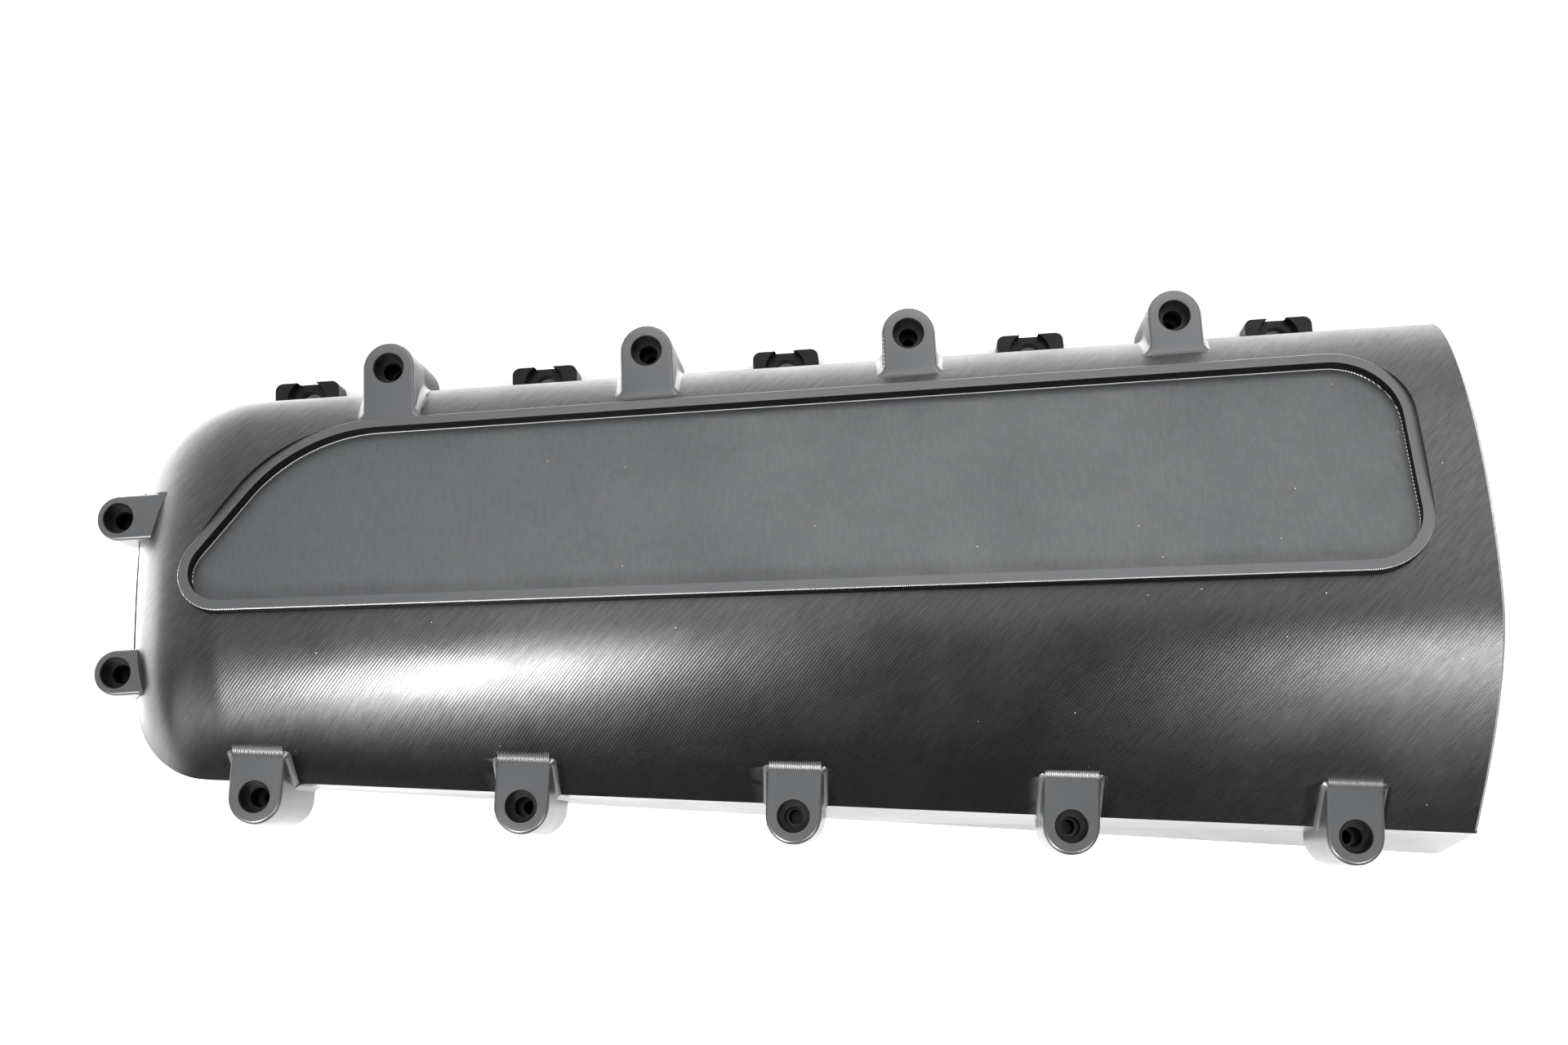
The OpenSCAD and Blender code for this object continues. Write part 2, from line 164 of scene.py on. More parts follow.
def finish(name, colour, rough, metal=0.0, specular=0.5, heading=None, pitch=0.001,
           bump=0.0, waver=0.3, patchy=0.0, specks=False, grain=0.0, painted_glints=None):
    """A Principled material with cutter marks, patches, dust and painted glints, as asked."""
    mat = bpy.data.materials.new(name)
    mat.use_nodes = True
    tree = mat.node_tree
    shader = tree.nodes["Principled BSDF"]
    shader.inputs["Base Color"].default_value = (*colour, 1)
    shader.inputs["Roughness"].default_value = rough
    shader.inputs["Metallic"].default_value = metal
    shader.inputs["Specular IOR Level"].default_value = specular
    where = add(tree, "ShaderNodeTexCoord").outputs["Object"]
    if patchy or specks:
        group = add(tree, "ShaderNodeGroup", node_tree=clouds)
        link(tree, where, group.inputs["Vector"])
        cloudy = ranged(tree, group.outputs["Patches"], 0.3, 0.7, rough - patchy, rough + patchy)
        link(tree, cloudy, shader.inputs["Roughness"])
        if specks:
            dusty = tinted(tree, colour, DUST, group.outputs["Specks"])
            link(tree, dusty, shader.inputs["Base Color"])
    height = None
    if heading:
        group = add(tree, "ShaderNodeGroup", node_tree=marks)
        link(tree, where, group.inputs["Vector"])
        group.inputs["Heading"].default_value = Vector(heading).normalized()
        group.inputs["Pitch"].default_value = pitch
        group.inputs["Waver"].default_value = waver
        height = group.outputs["Height"]
        # Painted glints: a paler colour on the crests of the cutter's marks.
        if painted_glints:
            glinted = tinted(tree, colour, painted_glints, maths(tree, "POWER", height, 2.5))
            link(tree, glinted, shader.inputs["Base Color"])
    if grain:
        noise = add(tree, "ShaderNodeTexNoise")
        noise.inputs["Scale"].default_value = GRAIN_SCALE
        link(tree, where, noise.inputs["Vector"])
        fine = maths(tree, "MULTIPLY", noise.outputs["Fac"], grain)
        height = maths(tree, "ADD", height, fine) if height else fine
    if height:
        bumper = add(tree, "ShaderNodeBump")
        bumper.inputs["Strength"].default_value = 1.0
        bumper.inputs["Distance"].default_value = bump
        link(tree, height, bumper.inputs["Height"])
        link(tree, bumper.outputs[0], shader.inputs["Normal"])
    return mat


def streaks_and_flank_shade(mat, stretch, turn, low, high, flank_shade=1.0):
    """Cutter's streaks as an uneven gloss, and a painted shade where the outer flank is steepest."""
    tree = mat.node_tree
    place = add(tree, "ShaderNodeMapping", vector_type="TEXTURE")
    place.inputs["Scale"].default_value = stretch
    place.inputs["Rotation"].default_value = (0, 0, turn)
    link(tree, add(tree, "ShaderNodeTexCoord").outputs["Object"], place.inputs["Vector"])
    streak = add(tree, "ShaderNodeTexNoise")
    streak.inputs["Scale"].default_value = 1.0
    streak.inputs["Detail"].default_value = 4
    streak.inputs["Roughness"].default_value = 0.7
    link(tree, place.outputs["Vector"], streak.inputs["Vector"])
    level = ranged(tree, streak.outputs["Fac"], 0.32, 0.68, low, high)
    # Painted shade: the gloss is lowered where the outer flank is steepest, by the way its faces
    # turn.
    facing = add(tree, "ShaderNodeSeparateXYZ")
    link(tree, add(tree, "ShaderNodeNewGeometry").outputs["Normal"], facing.inputs[0])
    flank = ranged(tree, facing.outputs["Y"], -0.79, -0.56, flank_shade, 1.0, smooth=True)
    link(tree, maths(tree, "MULTIPLY", level, flank),
         tree.nodes["Principled BSDF"].inputs["Specular IOR Level"])


DOME = finish("anodised_milled_slope", (0.0026, 0.0022, 0.0021), 0.335, specular=0.62,
              heading=(0.72, -0.69, 0.0), pitch=0.00097, bump=0.000011, waver=0.35,
              patchy=0.05, specks=True, grain=0.25)
# Long passes of the cutter scatter light around the dome far more than along it.
tree = DOME.node_tree
shader = tree.nodes["Principled BSDF"]
shader.inputs["Anisotropic"].default_value = 0.80
passes = add(tree, "ShaderNodeCombineXYZ")
passes.inputs["X"].default_value = 0.16
passes.inputs["Y"].default_value = 1.0
link(tree, passes.outputs[0], shader.inputs["Tangent"])
PANEL = finish("anodised_faced_panel", (0.0160, 0.0174, 0.0184), 0.46, specular=0.8,
               bump=0.00001, patchy=0.09, specks=True, grain=0.3)
RIM = finish("anodised_rim", (0.0145, 0.0155, 0.0165), 0.42, specular=0.74, patchy=0.04,
             bump=0.00001, grain=0.2)
# Painted sheen: the ears get a lighter black than the dome and rim, for the light their tops catch.
EAR = finish("anodised_ear_painted_sheen", (0.0175, 0.0184, 0.0200), 0.34, specular=0.9, patchy=0.05,
             bump=0.00001, grain=0.2)
# The cove carries painted glints, pale on the crests of its cutter's marks.
COVE = finish("anodised_cove_painted_glints", (0.012, 0.012, 0.0125), 0.32, specular=0.6,
              heading=(1.0, 0.0, 0.0), pitch=0.00075, bump=0.00006, waver=0.15,
              painted_glints=(0.035, 0.036, 0.039))
WALL = finish("anodised_pocket_wall", (0.0022, 0.0020, 0.0020), 0.5, specular=0.12)
# The pocket step carries painted glints, pale on the crests of its cutter's marks.
GLINT_STEP = finish("cutter_step_painted_glints", (0.012, 0.012, 0.012), 0.4, metal=0.2, heading=(1.0, 0.5, 0.0),
              pitch=0.00066, bump=0.00004, waver=0.03, painted_glints=(0.42, 0.42, 0.42))
# The dome's streaks carry a painted shade on its outer flank; the panel's carry none.
streaks_and_flank_shade(DOME, (0.0075, 0.0009, 0.0075), 0.76, 0.49, 0.75, flank_shade=0.08)
streaks_and_flank_shade(PANEL, (0.0013, 0.0045, 0.0045), 0.05, 0.60, 0.74)
BORE = finish("anodised_bore", (0.0035, 0.0028, 0.0026), 0.38, specular=0.3)
INSIDE = finish("anodised_inside", (0.013, 0.0128, 0.0132), 0.45, heading=(0.0, 1.0, 0.0),
                pitch=0.0012, bump=0.00001)

# Sizes from here on are in millimetres, and MM brings them to metres.
MM = 0.001
SEAM_Z, EAR_Z, HEAD_Y = 48.0, 62.0, 26.0
LEFT_X, RIGHT_X, OUTER_Y, OUTER_RUN = -242.5, 233.2, -135.0, -0.094
HEAD_R, OUTER_R = 46.0, 25.0
ROUND_X, ROUND_OX = LEFT_X + HEAD_R, LEFT_X + OUTER_R
END_RUN, END_POWER = 42.0, 1.8
# The crest, the outer slope's hollow and the head side's fullness, each with its change along X.
CREST_Z, CREST_Y, CREST_RUN = 87.7, -74.0, 0.028
SLOPE_REACH, SLOPE_RUN = 34.8, 0.0604
FULLNESS, FULLNESS_RUN = 1.68, 0.0005
# The open end's face slants and bulges, and the dome is drawn out to it over its last stretch.
FACE_X, FACE_CHAMFER, DRAWN_FROM = 233.1, 1.1, 150.0
FACE_SLANT, FACE_BULGE = math.tan(math.radians(1.8)), 1.5
END_WALL_X = 216.0
EAR_PITCH, END_PITCH, SIDE_EAR_R, END_EAR_R = 96.0, 57.0, 9.8, 8.3
LEAN = math.radians(5)
HEAD_EARS = [(-144.0, 32.0), (-48.0, 32.0), (48.0, 32.0), (144.0, 32.0)]
OUTER_EARS = [(-2.7 + i * EAR_PITCH * math.cos(LEAN), -139.1 - i * EAR_PITCH * math.sin(LEAN))
              for i in range(-2, 3)]
END_EARS = [(-245.4, -18.3), (-245.4, -75.3)]
PANEL_AT = (Matrix.Translation((0, 11, 66)) @ Matrix.Rotation(math.radians(-1.15), 4, "Y")
            @ Matrix.Rotation(math.radians(-18.3), 4, "X"))


def corner_in(gone, r):
    return r - math.sqrt(max(0.0, r * r - gone * gone)) if gone > 0 else 0.0


def head_wall(x, d=0.0):
    return HEAD_Y - d - corner_in(min(ROUND_X - x, HEAD_R - d), HEAD_R - d)


def outer_wall(x, d=0.0):
    return OUTER_Y + OUTER_RUN * x + d + corner_in(min(ROUND_OX - x, OUTER_R - d), OUTER_R - d)


def section(x, d=0.0, roof=0.0, n_head=46, n_outer=40):
    """(y, z) round the dome at one station, from the head-side joint over to the outer one."""
    u = (LEFT_X + END_RUN + d - x) / END_RUN
    fall = 1.0 if u <= 0 else (1 - min(u, 0.98) ** END_POWER) ** (1 / END_POWER)
    top = (CREST_Z + CREST_RUN * x - roof - SEAM_Z) * fall
    yh, yo, yc = head_wall(x, d), outer_wall(x, d), CREST_Y - CREST_RUN * x
    ym = yo + min(SLOPE_REACH + SLOPE_RUN * x, yc - yo)
    power = 2 / (FULLNESS + FULLNESS_RUN * x)
    ring = []
    for i in range(n_head + 1):
        a = math.pi / 2 * i / n_head
        ring.append((yc + (yh - yc) * max(0.0, math.cos(a)) ** power,
                     SEAM_Z + top * math.sin(a) ** power))
    for i in range(1, n_outer + 1):
        t = i / n_outer
        ring.append(((1 - t) ** 2 * yc + 2 * t * (1 - t) * ym + t * t * yo,
                     SEAM_Z + top * (1 - t * t)))
    return ring


def end_x(y):
    """X of the open end's face at one place across it."""
    first = OUTER_Y + OUTER_RUN * RIGHT_X
    span = HEAD_Y - first
    t = (y - first) / span
    return RIGHT_X + FACE_SLANT * span * t + FACE_BULGE * 4 * t * (1 - t)


def solid(name, rings, material, closed_ends=True):
    """A closed mesh object through rings of equal length, given in mm."""
    mesh = bpy.data.meshes.new(name)
    n, m = len(rings), len(rings[0])
    verts = [Vector(p) * MM for ring in rings for p in ring]
    faces = [(i * m + j, i * m + (j + 1) % m, (i + 1) * m + (j + 1) % m, (i + 1) * m + j)
             for i in range(n - 1) for j in range(m)]
    if closed_ends:
        faces += [tuple(range(m - 1, -1, -1)), tuple(range((n - 1) * m, n * m))]
    mesh.from_pydata(verts, [], faces)
    bm = bmesh.new()
    bm.from_mesh(mesh)
    bmesh.ops.recalc_face_normals(bm, faces=bm.faces)
    bm.to_mesh(mesh)
    bm.free()
    mesh.materials.append(material)
    thing = bpy.data.objects.new(name, mesh)
    bpy.context.scene.collection.objects.link(thing)
    return thing


def joined(name, things):
    """One object from several that don't touch, with their materials kept apart."""
    bm = bmesh.new()
    mesh = bpy.data.meshes.new(name)
    mats = []
    for thing in things:
        first = len(bm.faces)
        bm.from_mesh(thing.data)
        bm.faces.ensure_lookup_table()
        shift = []
        for mat in thing.data.materials:
            if mat not in mats:
                mats.append(mat)
            shift.append(mats.index(mat))
        for face in bm.faces[first:]:
            face.material_index = shift[face.material_index]
        bpy.data.objects.remove(thing)
    bm.to_mesh(mesh)
    bm.free()
    for mat in mats:
        mesh.materials.append(mat)
    thing = bpy.data.objects.new(name, mesh)
    bpy.context.scene.collection.objects.link(thing)
    return thing


def applied(thing):
    """Bake an object's modifiers into its mesh."""
    bpy.context.view_layer.update()
    dg = bpy.context.evaluated_depsgraph_get()
    mesh = bpy.data.meshes.new_from_object(thing.evaluated_get(dg))
    thing.modifiers.clear()
    thing.data = mesh
    return thing


def cut(body, tool, how="DIFFERENCE"):
    """Combine body with tool and drop the tool; its faces keep its own finish."""
    step = body.modifiers.new("step", "BOOLEAN")
    step.operation, step.object = how, tool
    step.solver, step.material_mode = "EXACT", "TRANSFER"
    applied(body)
    bpy.data.objects.remove(tool)
    return body


def shade(thing, degrees=26):
    """Smooth faces with a crisp edge wherever two meet at more than the given angle."""
    bm = bmesh.new()
    bm.from_mesh(thing.data)
    bmesh.ops.remove_doubles(bm, verts=bm.verts, dist=0.000002)
    for face in bm.faces:
        face.smooth = True
    for edge in bm.edges:
        edge.smooth = edge.calc_face_angle(0.0) < math.radians(degrees)
    bm.to_mesh(thing.data)
    bm.free()
    return thing


def rounded(corners, radii, grow=0.0, n=14):
    """A counter-clockwise outline through rounded corners, moved outwards by grow."""
    m, out = len(corners), []
    for i in range(m):
        p, q, r = (Vector(corners[(i + k) % m]) for k in (-1, 0, 1))
        a, b = (q - p).normalized(), (r - q).normalized()
        na, nb = Vector((a.y, -a.x)), Vector((b.y, -b.x))
        at = q + grow * (na + nb) / (1 + na.dot(nb))
        radius = radii[i] + grow
        half = (-a).angle(b) / 2
        middle = at + (b - a).normalized() * radius / math.sin(half)
        start = at - a * radius / math.tan(half) - middle
        for k in range(n + 1):
            turn = (math.pi - 2 * half) * k / n
            out.append(middle + Matrix.Rotation(turn, 2) @ start)
    return out


def stations(d, last, n_round, n_long):
    xs = [ROUND_X - (HEAD_R - d) * math.cos(math.pi / 2 * i / n_round) for i in range(n_round + 1)]
    return xs + [ROUND_X + (last - ROUND_X) * i / n_long for i in range(1, n_long + 1)]


# The dome runs to the slanted end face, where its edge is broken by a chamfer.
rings = []
along_x = [(x, 0.0) for x in stations(0, FACE_X - FACE_CHAMFER, 40, 72)]
for x, d in along_x + [(FACE_X, FACE_CHAMFER)]:
    drawn = max(0.0, (x - DRAWN_FROM) / (FACE_X - DRAWN_FROM))
    rings.append([(x + drawn * (end_x(y) - FACE_X), y, z) for y, z in section(x, d, d)])
cover = solid("plenum_cover_body", rings, DOME)


def ear_outline(r, side, wall, inset=0.0):
    """Plan of an ear, tip towards +Y, its sides hollowed to radius side where they meet the wall."""
    hollow, tip, reach = side + inset, r - inset, wall + (5 if r == SIDE_EAR_R else 3)
    right_side = [(tip * math.cos(a), tip * math.sin(a))
                  for a in (math.pi / 2 * k / 16 for k in range(16, -1, -1))]
    y0 = side - wall
    right_side += [(r + side - hollow * math.cos(a), y0 - hollow * math.sin(a))
                   for a in (math.pi / 2 * k / 12 for k in range(13))]
    right_side += [(r + side, -reach)]
    return right_side + [(-x, y) for x, y in reversed(right_side[1:])]


def ear_at(place, turn, r, side, wall_at, z0, z1, edge, material):
    """One ear between two heights, with a rounded top edge, its flares following the dome."""
    at = Matrix.Translation((*place, 0)) @ Matrix.Rotation(turn, 4, "Z")
    levels = [(z0 + (z1 - edge - z0) * k / 6, 0.0) for k in range(6)]
    levels += [(z1 - edge + edge * math.sin(a), edge * (1 - math.cos(a)))
               for a in (math.pi / 2 * k / 6 for k in range(7))]
    rings = [[at @ Vector((x, y, z)) for x, y in ear_outline(r, side, wall_at(z), inset)]
             for z, inset in levels]
    return solid("ear", rings, material)


def cove_at(place, turn, root, rise, radius, half):
    """The cutter's hollow between the top of an ear and the dome, as a ruled wedge."""
    at = Matrix.Translation((*place, 0)) @ Matrix.Rotation(turn, 4, "Z")
    middle = -root + radius * math.tan(rise / 2)
    arc = [(middle - radius * math.sin(a), EAR_Z + radius * (1 - math.cos(a)) - 0.02)
           for a in (rise * k / 9 for k in range(10))]
    y, z = arc[-1]
    shape = arc + [(y - 3, z + 3 * math.tan(rise) - 2.2), (y - 3, EAR_Z - 4), (middle, EAR_Z - 4)]
    return solid("cove", [[at @ Vector((s, a, b)) for a, b in shape] for s in (-half, half)], COVE)


def root_of(place, towards, height):
    """Distance from a screw straight back to where the dome reaches a height."""
    s = 2.0
    while s < 34:
        x, y = place[0] - towards[0] * s, place[1] - towards[1] * s
        if LEFT_X < x < RIGHT_X and outer_wall(x) < y < head_wall(x):
            ring = section(x)
            for (ya, za), (yb, zb) in zip(ring, ring[1:]):
                if yb <= y <= ya and ya > yb and za + (zb - za) * (y - ya) / (yb - ya) >= height:
                    return s
        s += 0.1
    return s


# The dome's foot is felt out behind each ear every 2 mm of height, and the ear follows it. A cove
# leaves the top of an ear at the angle that the dome has over the next 2.5 mm.
EAR_EDGE, FELT_RISE = 1.3, 2.5
ears, coves = [], []
for places, turn, r, side, radius in (
        (HEAD_EARS, 0.0, SIDE_EAR_R, 4.2, 3.0),
        (OUTER_EARS, math.pi - LEAN, SIDE_EAR_R, 3.4, 6.2),
        (END_EARS, math.pi / 2, END_EAR_R, 0.4, 3.0)):
    towards = (-math.sin(turn), math.cos(turn))
    for place in places:
        steps = [root_of(place, towards, SEAM_Z + 0.3 + 2 * k) for k in range(8)]

        def wall_at(z, steps=steps):
            k = min(6.999, max(0.0, (z - SEAM_Z) / 2))
            return steps[int(k)] + (steps[int(k) + 1] - steps[int(k)]) * (k - int(k)) + 0.15

        ears.append(ear_at(place, turn, r, side, wall_at, SEAM_Z, EAR_Z, EAR_EDGE, EAR))
        root = root_of(place, towards, EAR_Z)
        above = root_of(place, towards, EAR_Z + FELT_RISE)
        rise = math.atan2(FELT_RISE, max(0.4, above - root))
        if root < 30 and r == SIDE_EAR_R:
            coves.append(cove_at(place, turn, root, rise, radius, r - 0.6))
cut(cover, joined("ears", ears), "UNION")
cut(cover, joined("coves", coves), "UNION")

# The panel lies in a raised rim, and everything the dome has above the rim is faced away.
CORNERS = [(-177.4, -1.6), (-222.7, -68.3), (215.3, -81.7), (216.5, -2.6)]
RADII = [55, 13, 19, 23]
RIM_W, POCKET_Z = 3.8, -4.4


def panel_solid(name, levels, material):
    return solid(name, [[PANEL_AT @ Vector((p.x, p.y, z)) for p in rounded(CORNERS, RADII, grow)]
                        for z, grow in levels], material)


cut(cover, panel_solid("rim", [(-12, RIM_W), (-0.3, RIM_W), (0, RIM_W - 0.3)], WALL), "UNION")
cut(cover, panel_solid("faced", [(0.0, RIM_W), (30, RIM_W)], DOME))
# On the outer side the cutter left a stepped ledge below the rim.
LEDGE = [(-1.5, RIM_W + 1.5), (-1.1, RIM_W + 1.7), (-1.1, RIM_W + 2.4), (7, RIM_W + 2.9)]
LEDGE_ENDS = [(-214, -58), (-214, -96), (203, -96), (203, -70)]
moat = panel_solid("moat", LEDGE, WALL)
cut(moat, panel_solid("moat_core", [(-9, RIM_W + 0.05), (9, RIM_W + 0.05)], WALL))
cut(moat, solid("outer_side", [[PANEL_AT @ Vector((u, v, z)) for u, v in LEDGE_ENDS]
                               for z in (-8, 10)], WALL), "INTERSECT")
cut(cover, moat)
cut(cover, panel_solid("pocket", [(-4.1, 0), (6, 0)], WALL))
cut(cover, panel_solid("pocket_step", [(POCKET_Z, -0.22), (-4.15, -0.02), (-4.0, -0.02)], GLINT_STEP))
for mat in (PANEL, RIM, GLINT_STEP):
    if mat.name not in cover.data.materials:
        cover.data.materials.append(mat)
# The faced rim, the pocket's floor and the small step round it are told by height and slope.
found = {mat.name: k for k, mat in enumerate(cover.data.materials)}
for face in cover.data.polygons:
    height = (PANEL_AT.inverted() @ (face.center / MM)).z
    upright = face.normal.dot((PANEL_AT.to_3x3() @ Vector((0, 0, 1))).normalized())
    if upright > 0.999 and abs(height - POCKET_Z) < 0.03:
        face.material_index = found[PANEL.name]
    elif upright > 0.999 and abs(height) < 0.03:
        face.material_index = found[RIM.name]
    elif 0.6 < upright < 0.8 and -0.3 < height < -0.02:
        face.material_index = found[GLINT_STEP.name]

# Inside it is hollowed to a 5 mm roof, and the ears are bored and counterbored for M6 screws.
inner = []
for x in stations(9, END_WALL_X, 16, 20):
    ring = [(x, y, z) for y, z in section(x, 9.0, 5.0, 20, 16)]
    inner.append([(x, ring[0][1], SEAM_Z - 1)] + ring + [(x, ring[-1][1], SEAM_Z - 1)])
hollow = solid("hollow", inner, INSIDE)
under = panel_solid("under_panel", [(-104.5, 300), (POCKET_Z - 4.5, 300)], INSIDE)
cut(hollow, under, "INTERSECT")
cut(cover, hollow)


def bore(place, steps, material, n=40):
    """A closed round cutter from (z, r) steps."""
    return solid("bore", [[(place[0] + r * math.cos(a), place[1] + r * math.sin(a), z)
                           for a in (2 * math.pi * k / n for k in range(n))]
                          for z, r in steps], material)


SCREW_HOLE = [(SEAM_Z - 1, 3.5), (EAR_Z - 6, 3.5), (EAR_Z - 6, 5.5),
              (EAR_Z - 0.3, 5.5), (EAR_Z + 0.2, 6.0), (80, 6.0)]
cut(cover, joined("holes", [bore(place, SCREW_HOLE, BORE)
                            for place in HEAD_EARS + OUTER_EARS + END_EARS]))


def sideways(steps, y, z, material, n=48):
    """As bore, but along X."""
    return solid("bore_x", [[(x, y + r * math.cos(a), z + r * math.sin(a))
                             for a in (2 * math.pi * k / n for k in range(n))]
                            for x, r in steps], material)


# The open end takes the upper half of the throttle bore and of its flange's seat, and the boost
# port with its spot face, which a small drilling joins to the inside.
THROTTLE_Y, THROTTLE_Z, THROTTLE_R = -70, 46, 30.0
SEAT_X, SEAT_HALF, SEAT_R = 226.0, 38.2, 12
PORT_Y, PORT_Z, DRILLING_Z = -20, 70, 65.2
cut(cover, sideways([(END_WALL_X - 1, THROTTLE_R), (245.0, THROTTLE_R)],
                    THROTTLE_Y, THROTTLE_Z, INSIDE, 72))
seat = rounded([(-SEAT_HALF, -SEAT_HALF), (SEAT_HALF, -SEAT_HALF),
                (SEAT_HALF, SEAT_HALF), (-SEAT_HALF, SEAT_HALF)], [SEAT_R] * 4)
cut(cover, solid("seat", [[(x, THROTTLE_Y + p.x, THROTTLE_Z + p.y) for p in seat]
                          for x in (SEAT_X, 250.0)], INSIDE))
cut(cover, sideways([(END_WALL_X + 4, 5.0), (236.5, 5.0), (236.5, 7.5), (256.0, 7.5)],
                    PORT_Y, PORT_Z, BORE))
cut(cover, sideways([(END_WALL_X - 1, 1.5), (END_WALL_X + 7, 1.5)], PORT_Y, DRILLING_Z, BORE, 24))
cut(cover, joined("dowel_seats", [bore(place, [(SEAM_Z - 1, 5.0), (SEAM_Z + 4, 5.0)], BORE)
                                  for place in (HEAD_EARS[0], OUTER_EARS[4])]))
shade(cover)
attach(cover, "root")
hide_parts("plenum_cover")

# --- thread inserts ---------------------------------------------------------------------------
# Stainless inserts pressed into the base below each ear, their threads cut right through. Each
# row is one insert repeated along a line.
# Painted shade: the stainless of the inserts and dowels is given a far darker colour than bare steel,
# for lying deep in dark holes.
DARKENED_STEEL = finish("stainless_thread", (0.10, 0.095, 0.09), 0.38, metal=1.0)
INSERT_R, THREAD_R, INSERT_FOOT, INSERT_TOP, INSERT_LENGTH = 4.0, 2.6, 32, 44, 12
INSERT = [(INSERT_R - 0.25 * (i % 2), INSERT_FOOT + INSERT_LENGTH * i / 24) for i in range(25)]
INSERT += [(THREAD_R + 0.3 * (i % 2), INSERT_TOP - INSERT_LENGTH * i / 48) for i in range(49)]

repeat = bpy.data.node_groups.new("repeat_in_a_line", "GeometryNodeTree")
repeat.interface.new_socket("Geometry", in_out="OUTPUT", socket_type="NodeSocketGeometry")
sockets = {label: repeat.interface.new_socket(label, in_out="INPUT", socket_type=kind).identifier
           for label, kind in (("Geometry", "NodeSocketGeometry"), ("Count", "NodeSocketInt"),
                               ("Start", "NodeSocketVector"), ("Step", "NodeSocketVector"),
                               ("Material", "NodeSocketMaterial"))}
gin, gout = add(repeat, "NodeGroupInput"), add(repeat, "NodeGroupOutput")
row = add(repeat, "GeometryNodeMeshLine", mode="OFFSET")
spread = add(repeat, "GeometryNodeInstanceOnPoints")
real, paint = add(repeat, "GeometryNodeRealizeInstances"), add(repeat, "GeometryNodeSetMaterial")
link(repeat, gin.outputs["Count"], row.inputs["Count"])
link(repeat, gin.outputs["Start"], row.inputs["Start Location"])
link(repeat, gin.outputs["Step"], row.inputs["Offset"])
link(repeat, row.outputs[0], spread.inputs["Points"])
link(repeat, gin.outputs["Geometry"], spread.inputs["Instance"])
link(repeat, spread.outputs[0], real.inputs[0])
link(repeat, real.outputs[0], paint.inputs["Geometry"])
link(repeat, gin.outputs["Material"], paint.inputs["Material"])
link(repeat, paint.outputs[0], gout.inputs[0])


def turned(name, profile, material, n=40):
    """A ring turned about Z from a closed (r, z) profile."""
    rings = [[(r * math.cos(a), r * math.sin(a), z) for r, z in profile]
             for a in (2 * math.pi * k / n for k in range(n))]
    return solid(name, rings + [rings[0]], material, closed_ends=False)


for name, count, start, step in (
        ("head_side_inserts", 4, HEAD_EARS[0], (EAR_PITCH, 0.0)),
        ("outer_side_inserts", 5, OUTER_EARS[0],
         (EAR_PITCH * math.cos(LEAN), -EAR_PITCH * math.sin(LEAN))),
        ("end_inserts", 2, END_EARS[0], (0.0, -END_PITCH))):
    piece = shade(turned(name + "_row", INSERT, DARKENED_STEEL), 20)
    line = piece.modifiers.new("line", "NODES")
    line.node_group = repeat
    line[sockets["Count"]] = count
    line[sockets["Start"]] = (start[0] * MM, start[1] * MM, 0.0)
    line[sockets["Step"]] = (step[0] * MM, step[1] * MM, 0.0)
    line[sockets["Material"]] = DARKENED_STEEL
    applied(piece)
    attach(piece, "root")
    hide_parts(name)

# --- the base and what is fitted to it --------------------------------------------------------
# The base is milled from a second billet. Its bell mouths are turned, and its seals are cord
# and rings in grooves. The throttle flange is held by four black countersunk screws.
BASE = finish("anodised_base", (0.012, 0.0122, 0.013), 0.3, specular=0.8,
              heading=(0.0, 0.0, 1.0), pitch=0.0009, bump=0.0000035, patchy=0.04)
# Painted shade: each stud pad on the head side lies in the cover's shade and is given
# less gloss than the rest of the base.
tree = BASE.node_tree
place = add(tree, "ShaderNodeSeparateXYZ")
link(tree, add(tree, "ShaderNodeTexCoord").outputs["Object"], place.inputs[0])
pad_shade = ranged(tree, place.outputs["Y"], 0.018, 0.026, 0.8, 0.12, smooth=True)
link(tree, pad_shade, tree.nodes["Principled BSDF"].inputs["Specular IOR Level"])
BARE = finish("turned_aluminium", (0.74, 0.75, 0.76), 0.27, metal=1.0,
              heading=(0.0, 0.0, 1.0), pitch=0.0004, bump=0.000004)
RUBBER = finish("seal_rubber", (0.012, 0.012, 0.012), 0.62, grain=0.6, bump=0.00002)
BLACKED = finish("black_oxide_steel", (0.045, 0.045, 0.047), 0.38, metal=0.8)
COPPER = finish("annealed_copper", (0.78, 0.36, 0.2), 0.33, metal=1.0, patchy=0.06)
FINISHES = {
    "plenum_base": BASE, "cover_seal": RUBBER, "throttle_seal": RUBBER,
    "ring_dowel_head": DARKENED_STEEL, "ring_dowel_outer": DARKENED_STEEL, "throttle_flange": BASE,
    "throttle_flange_screws": BLACKED, "boost_port_plug": BLACKED, "plug_washer": COPPER,
}
for i in range(1, 5):
    FINISHES[f"velocity_stack_{i}"] = BARE
    FINISHES[f"port_seal_{i}"] = RUBBER
for name, mat in FINISHES.items():
    nodes[name].data.materials.clear()
    nodes[name].data.materials.append(mat)

# --- table and light --------------------------------------------------------------------------
# A white table, lit until it burns out, and a bright soft sky on the head side. The outer side
# looks into a darker room, where a small box draws the highlight on the slope, a wider one the
# glow by the open end, and a low one the light on the rounded corner.
TABLE_WHITE = 0.95
bpy.context.scene.view_settings.view_transform = "Standard"
bpy.ops.mesh.primitive_plane_add(size=5, location=(0, 0, -0.0005))
floor = bpy.context.object
floor.name = "floor"
table = bpy.data.materials.new("white_table")
table.use_nodes = True
tree = table.node_tree
shader = tree.nodes["Principled BSDF"]
shader.inputs["Roughness"].default_value = 0.8
shader.inputs["Specular IOR Level"].default_value = 0.0
shader.inputs["Emission Color"].default_value = (1, 1, 1, 1)
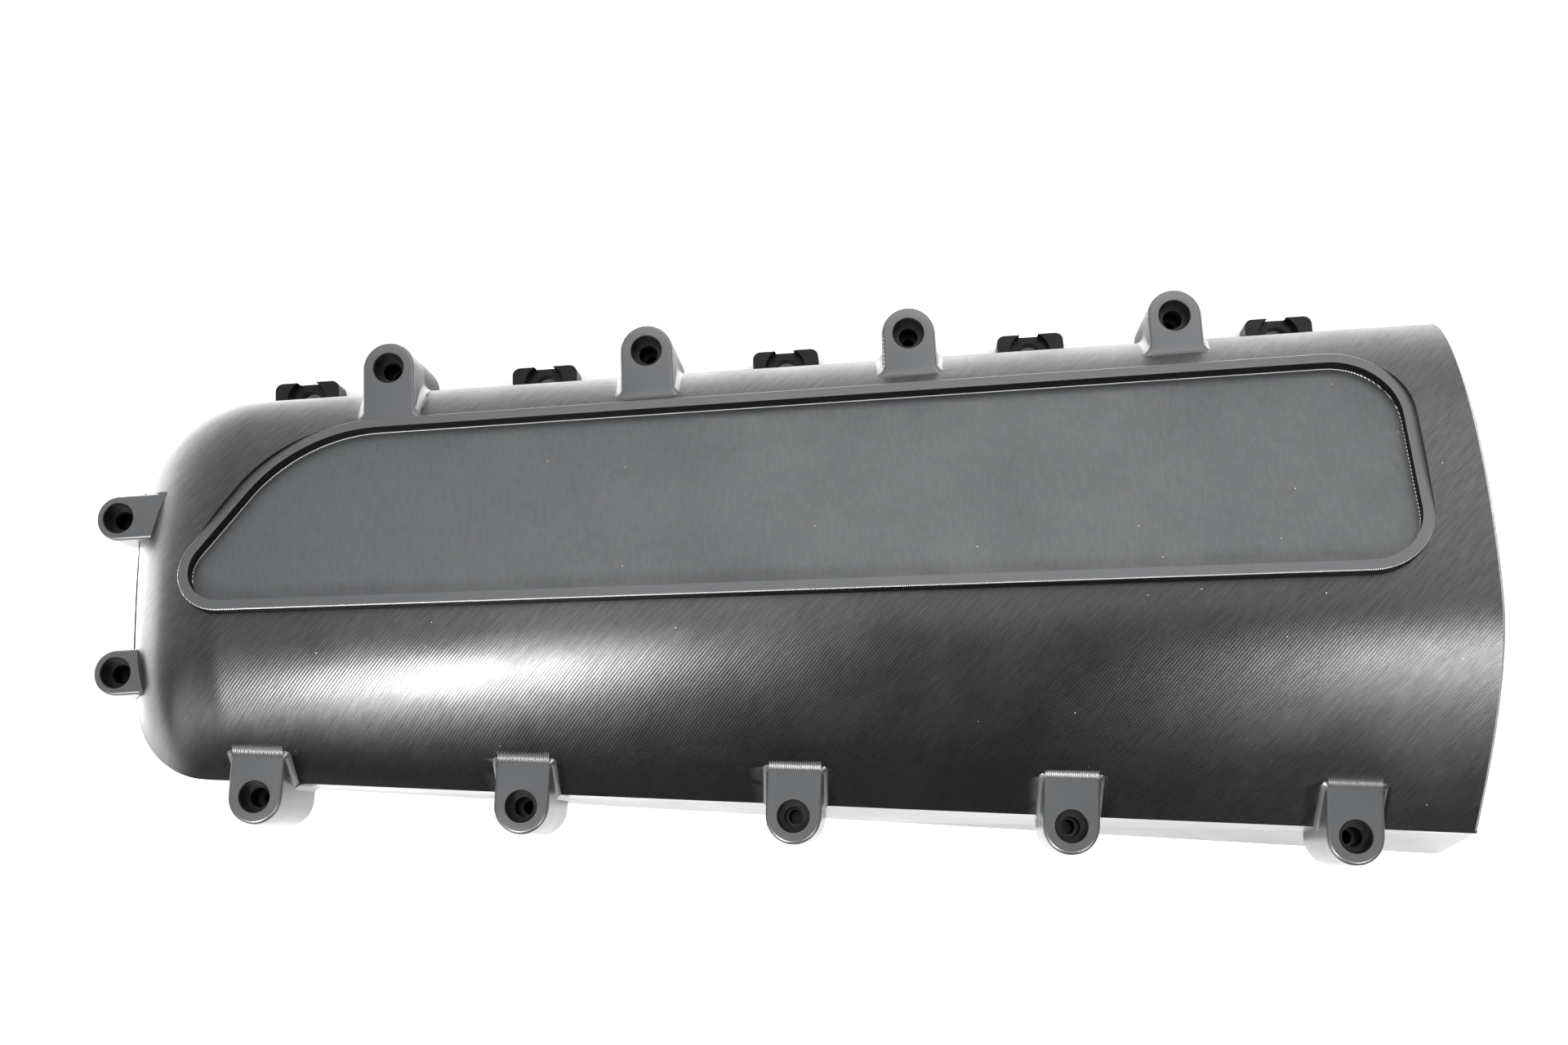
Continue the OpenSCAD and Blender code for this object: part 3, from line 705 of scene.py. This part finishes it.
# The table glows as if lit from below, but the glow fades towards the part and is left out
# where the part stands on it: a painted shadow under and around the part.
place = add(tree, "ShaderNodeSeparateXYZ")
link(tree, add(tree, "ShaderNodeTexCoord").outputs["Object"], place.inputs[0])
gaps = []
for axis, shift, half in (("X", 0.003, 0.235), ("Y", 0.058, 0.096)):
    away = maths(tree, "ABSOLUTE", maths(tree, "ADD", place.outputs[axis], shift))
    gaps.append(maths(tree, "SUBTRACT", away, half))
clear = ranged(tree, maths(tree, "MAXIMUM", *gaps), 0.0, 0.06, 0.0, 1.0, smooth=True)
# It grows brighter towards the head side, and a little sooner at the two ends.
sooner = maths(tree, "MULTIPLY", maths(tree, "ABSOLUTE", place.outputs["X"]), 0.06)
depth = maths(tree, "ADD", place.outputs["Y"], sooner)
beyond = ranged(tree, depth, -0.12, 0.07, 0.10, 3.8, smooth=True)
# In reflections the table goes dark in front of the part, as with a black card laid there.
CARD_EDGE, CARD_DEPTH = -0.26, 0.93
rays = add(tree, "ShaderNodeLightPath")
card = maths(tree, "MULTIPLY", rays.outputs["Is Glossy Ray"],
             maths(tree, "LESS_THAN", place.outputs["Y"], CARD_EDGE))
tone = maths(tree, "SUBTRACT", TABLE_WHITE, maths(tree, "MULTIPLY", card, CARD_DEPTH))
link(tree, tone, shader.inputs["Base Color"])
# Glow strength: the painted shadow by the part times the rise towards the head side, off at the card.
link(tree, maths(tree, "MULTIPLY", maths(tree, "SUBTRACT", 1.0, card),
                 maths(tree, "MULTIPLY", clear, beyond)),
     shader.inputs["Emission Strength"])
# Seen from below the table is clear, so the underside can be looked at.
clear_back = add(tree, "ShaderNodeMixShader")
link(tree, add(tree, "ShaderNodeNewGeometry").outputs["Backfacing"], clear_back.inputs[0])
link(tree, shader.outputs[0], clear_back.inputs[1])
link(tree, add(tree, "ShaderNodeBsdfTransparent").outputs[0], clear_back.inputs[2])
link(tree, clear_back.outputs[0], tree.nodes["Material Output"].inputs["Surface"])
floor.data.materials.append(table)


def softbox(name, at, aim, size, watts):
    data = bpy.data.lights.new(name, "AREA")
    data.shape, data.size, data.size_y = "RECTANGLE", size[0], size[1]
    data.energy = watts
    lamp = bpy.data.objects.new(name, data)
    bpy.context.scene.collection.objects.link(lamp)
    lamp.location = at
    lamp.rotation_euler = (Vector(aim) - Vector(at)).to_track_quat("-Z", "Y").to_euler()


softbox("overhead", (0.30, 1.05, 1.35), (0, -0.02, 0.05), (2.0, 1.3), 21)
softbox("slope_box", (-0.565, -0.955, 1.24), (-0.12, -0.10, 0.07), (0.15, 0.36), 42)
softbox("corner_card", (-1.0, -0.92, 0.36), (-0.22, -0.12, 0.05), (0.8, 0.6), 6)
softbox("end_box", (0.64, -0.96, 1.22), (0.23, -0.09, 0.07), (0.46, 0.30), 21)

world = bpy.data.worlds.new("studio")
bpy.context.scene.world = world
world.use_nodes = True
sky = world.node_tree
look = add(sky, "ShaderNodeSeparateXYZ")
link(sky, add(sky, "ShaderNodeTexCoord").outputs["Generated"], look.inputs[0])
fade = ranged(sky, look.outputs["Y"], -0.55, 0.25, 0.02, 1.25, smooth=True)
sky.nodes["Background"].inputs["Color"].default_value = (0.97, 0.985, 1, 1)
# The camera sees a plain white backdrop on every side.
seen = add(sky, "ShaderNodeLightPath").outputs["Is Camera Ray"]
link(sky, maths(sky, "MAXIMUM", fade, seen), sky.nodes["Background"].inputs["Strength"])
